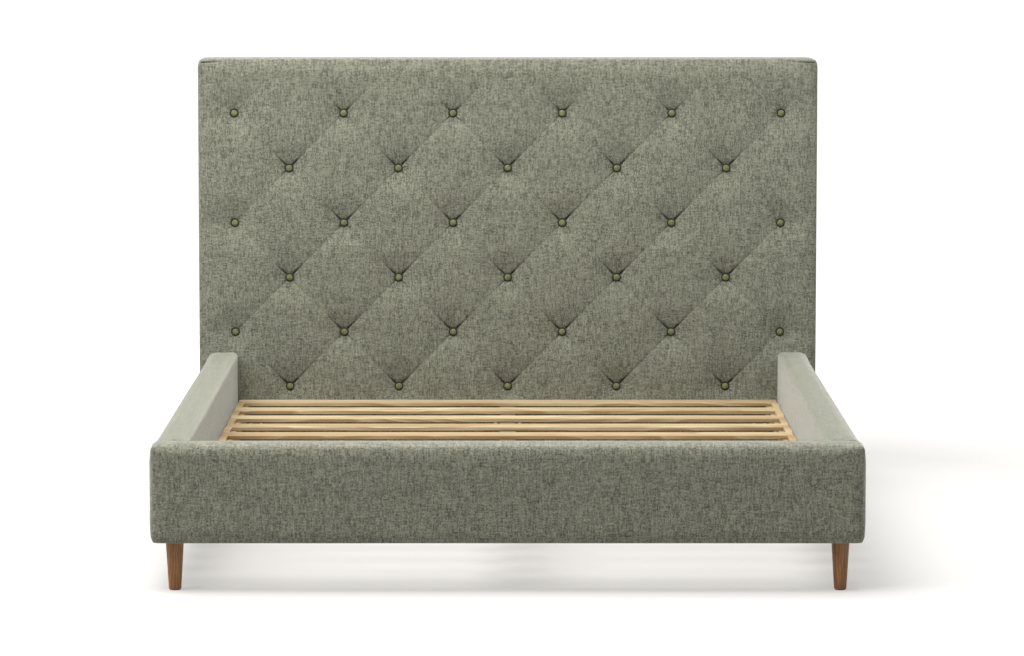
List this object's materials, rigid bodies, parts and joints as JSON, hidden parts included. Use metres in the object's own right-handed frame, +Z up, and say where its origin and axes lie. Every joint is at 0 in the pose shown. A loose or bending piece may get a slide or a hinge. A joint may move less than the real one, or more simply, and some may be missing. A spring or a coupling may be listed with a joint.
{
  "type": "upholstered bed",
  "caption": "Queen bed with a tall diamond-tufted fabric headboard, padded side rails and footboard, a pine slat deck, a centre rail and short tapered wooden legs.",
  "frame": {"origin": "on the floor, under the middle of the bed's outside length and width", "axes": "+Z up; +Y towards the headboard, so the footboard's front faces -Y; +X towards the right of someone looking at the footboard"},
  "size_m": [1.774, 2.239, 1.204],
  "materials": {
    "upholstery_fabric": "heathered woven grey-beige upholstery fabric",
    "button_fabric": "the same weave, a shade more olive, pulled over button blanks",
    "back_cloth": "plain dark non-woven cloth",
    "foam": "open-cell upholstery foam",
    "twine": "waxed tufting twine",
    "pine": "pale pine, sanded, unfinished",
    "plywood": "birch plywood",
    "frame_timber": "planed softwood",
    "walnut": "walnut-stained, satin lacquer",
    "zinc_steel": "zinc-plated",
    "black_steel": "black powder coat",
    "glide_plastic": "moulded nylon"
  },
  "bodies": {
    "bed_frame": {"bracket_bolts": "zinc_steel", "centre_leg_front": "frame_timber", "centre_leg_inserts": "zinc_steel", "centre_leg_rear": "frame_timber", "centre_rail": "frame_timber", "centre_rail_hangers": "black_steel", "corner_brackets": "black_steel", "footboard_core": "frame_timber", "footboard_cover": "upholstery_fabric", "footboard_foam": "foam", "footboard_packer": "plywood", "hanger_screws": "zinc_steel", "headboard_back_cloth": "back_cloth", "headboard_cover": "upholstery_fabric", "headboard_foam": "foam", "headboard_packer": "plywood", "headboard_panel": "plywood", "headboard_post_left": "frame_timber", "headboard_post_right": "frame_timber", "headboard_rail_bottom": "frame_timber", "headboard_rail_middle": "frame_timber", "headboard_rail_top": "frame_timber", "ledger_left": "pine", "ledger_right": "pine", "ledger_screws": "zinc_steel", "leg_front_left": "walnut", "leg_front_right": "walnut", "leg_glides": "glide_plastic", "leg_hanger_bolts": "zinc_steel", "leg_rear_left": "walnut", "leg_rear_right": "walnut", "side_rail_core_left": "frame_timber", "side_rail_core_right": "frame_timber", "side_rail_cover_left": "upholstery_fabric", "side_rail_cover_right": "upholstery_fabric", "side_rail_foam_left": "foam", "side_rail_foam_right": "foam", "side_rail_packer_left": "plywood", "side_rail_packer_right": "plywood", "slat_01": "pine", "slat_02": "pine", "slat_03": "pine", "slat_04": "pine", "slat_05": "pine", "slat_06": "pine", "slat_07": "pine", "slat_08": "pine", "slat_09": "pine", "slat_10": "pine", "slat_11": "pine", "slat_spacers": "pine", "tuft_buttons": "button_fabric", "tuft_twines": "twine", "tuft_washers": "zinc_steel"},
    "centre_foot_front": {"centre_foot_pad_front": "glide_plastic", "centre_foot_stud_front": "zinc_steel"},
    "centre_foot_rear": {"centre_foot_pad_rear": "glide_plastic", "centre_foot_stud_rear": "zinc_steel"}
  },
  "joints": [
    {"name": "centre_foot_front_height", "type": "slide", "parent": "bed_frame", "child": "centre_foot_front", "axis": [0, 0, 1], "range_m": [0, 0.009]},
    {"name": "centre_foot_rear_height", "type": "slide", "parent": "bed_frame", "child": "centre_foot_rear", "axis": [0, 0, 1], "range_m": [0, 0.009]}
  ]
}
